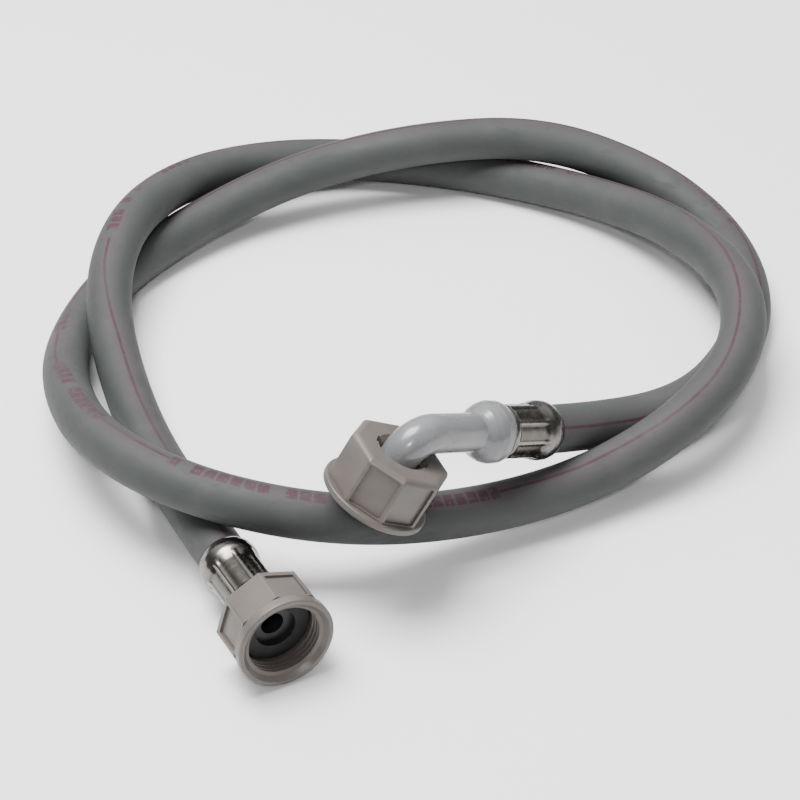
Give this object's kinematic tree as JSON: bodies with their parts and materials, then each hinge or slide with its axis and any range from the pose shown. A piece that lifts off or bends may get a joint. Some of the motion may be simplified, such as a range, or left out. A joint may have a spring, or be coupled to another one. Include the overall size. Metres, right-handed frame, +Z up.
{
  "type": "braided supply line",
  "caption": "Coiled appliance water-supply hose with a braid under its smooth jacket, a straight union nut on one end and a right-angle elbow with a union nut on the other.",
  "frame": {"origin": "on the floor under the middle of the whole coil's footprint", "axes": "+Z up; +Y across the coil, away from the two fittings, which lie on the -Y side; +X to the right when facing +Y"},
  "size_m": [0.267, 0.3097, 0.0644],
  "materials": {
    "jacket": "smooth grey flexible PVC with a faded printed stripe",
    "braid": "white polyester braid",
    "liner": "smooth dark liner",
    "ferrule": "bright drawn steel, crimped",
    "tail": "moulded dark grey",
    "nut": "moulded warm grey, satin",
    "washer": "black sealing rubber",
    "elbow": "moulded bluish light grey, glossy and slightly translucent"
  },
  "bodies": {
    "hose": {"hose_jacket": "jacket", "hose_braid": "braid", "hose_liner": "liner", "straight_ferrule": "ferrule", "straight_tail": "tail", "elbow_ferrule": "ferrule", "elbow_body": "elbow"},
    "straight_seal": {"straight_washer": "washer"},
    "straight_union": {"straight_nut": "nut"},
    "elbow_seal": {"elbow_washer": "washer"},
    "elbow_union": {"elbow_nut": "nut"}
  },
  "joints": [
    {"name": "straight_nut_spin", "type": "hinge", "parent": "hose", "child": "straight_seal", "pos_m": [-0.04672, -0.13199, 0.01668], "axis": [0.462, -0.886, 0.0396], "continuous": true},
    {"name": "straight_nut_slide", "type": "slide", "parent": "straight_seal", "child": "straight_union", "axis": [0.462, -0.886, 0.0396], "range_m": [-0.002, 0.0015]},
    {"name": "elbow_nut_spin", "type": "hinge", "parent": "hose", "child": "elbow_seal", "pos_m": [-0.00321, -0.09951, 0.05485], "axis": [-0.4803, -0.1312, -0.8672], "continuous": true},
    {"name": "elbow_nut_slide", "type": "slide", "parent": "elbow_seal", "child": "elbow_union", "axis": [-0.4803, -0.1312, -0.8672], "range_m": [-0.0003, 0.001]}
  ]
}
